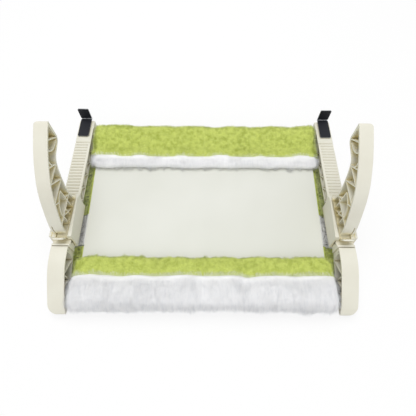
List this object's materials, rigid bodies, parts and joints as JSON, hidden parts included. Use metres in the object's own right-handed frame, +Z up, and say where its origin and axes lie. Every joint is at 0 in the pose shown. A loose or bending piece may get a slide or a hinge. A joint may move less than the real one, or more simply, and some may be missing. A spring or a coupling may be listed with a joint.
{
  "type": "cat window hammock",
  "caption": "Fold-over cat window hammock: toothed side rails with sliding curved clamp arms and steel sill hooks, rods and a board in a striped plush cover.",
  "frame": {"origin": "centre of the bounding box, on the surface that the plush side lies on", "axes": "+Z up with the plush side down, as pictured; +Y from the bow-shaped noses towards the hooks; +X across, towards the right-hand arm"},
  "size_m": [0.488, 0.3648, 0.1778],
  "materials": {
    "cream_plastic": "moulded, satin",
    "hook_steel": "plated strip",
    "pad_rubber": "matte",
    "screw_steel": "plated",
    "rod_steel": "drawn tube",
    "plug_plastic": "moulded",
    "board": "smooth sheet",
    "green_plush": "long soft pile",
    "white_plush": "long soft pile"
  },
  "bodies": {
    "base": {"side_bracket_left": "cream_plastic", "side_bracket_right": "cream_plastic", "hook_plate_left": "hook_steel", "hook_foot_pad_left": "pad_rubber", "hook_tab_pad_left": "pad_rubber", "hook_screw_rear_left": "screw_steel", "hook_screw_front_left": "screw_steel", "hook_plate_right": "hook_steel", "hook_foot_pad_right": "pad_rubber", "hook_tab_pad_right": "pad_rubber", "hook_screw_rear_right": "screw_steel", "hook_screw_front_right": "screw_steel", "rear_rod_plug_left": "plug_plastic", "rear_rod_screw_left": "screw_steel", "front_rod_plug_left": "plug_plastic", "front_rod_screw_left": "screw_steel", "rear_rod_plug_right": "plug_plastic", "rear_rod_screw_right": "screw_steel", "front_rod_plug_right": "plug_plastic", "front_rod_screw_right": "screw_steel", "rear_rod": "rod_steel", "front_rod": "rod_steel", "backing_board": "board", "rear_roll": "green_plush", "rear_hem": "white_plush", "front_roll": "white_plush", "front_hem": "green_plush", "mat_rear_strip": "green_plush", "mat_middle_strip": "white_plush", "mat_front_strip": "green_plush"},
    "clamp_left": {"clamp_arm_left": "cream_plastic"},
    "tongue_left": {"release_tongue_left": "cream_plastic"},
    "clamp_right": {"clamp_arm_right": "cream_plastic"},
    "tongue_right": {"release_tongue_right": "cream_plastic"}
  },
  "joints": [
    {"name": "clamp_slide_left", "type": "slide", "parent": "base", "child": "clamp_left", "axis": [0, 0.9973, -0.0741], "range_m": [0, 0.1116]},
    {"name": "clamp_slide_right", "type": "slide", "parent": "base", "child": "clamp_right", "axis": [0, 0.9973, -0.0741], "range_m": [0, 0.1116]},
    {"name": "tongue_lift_left", "type": "hinge", "parent": "clamp_left", "child": "tongue_left", "pos_m": [-0.2253, -0.04665, 0.04899], "axis": [-1, 0, 0], "range_deg": [0, 9], "stiffness_Nm_per_rad": 1.5},
    {"name": "tongue_lift_right", "type": "hinge", "parent": "clamp_right", "child": "tongue_right", "pos_m": [0.2253, -0.04665, 0.04899], "axis": [-1, 0, 0], "range_deg": [0, 9], "stiffness_Nm_per_rad": 1.5}
  ]
}
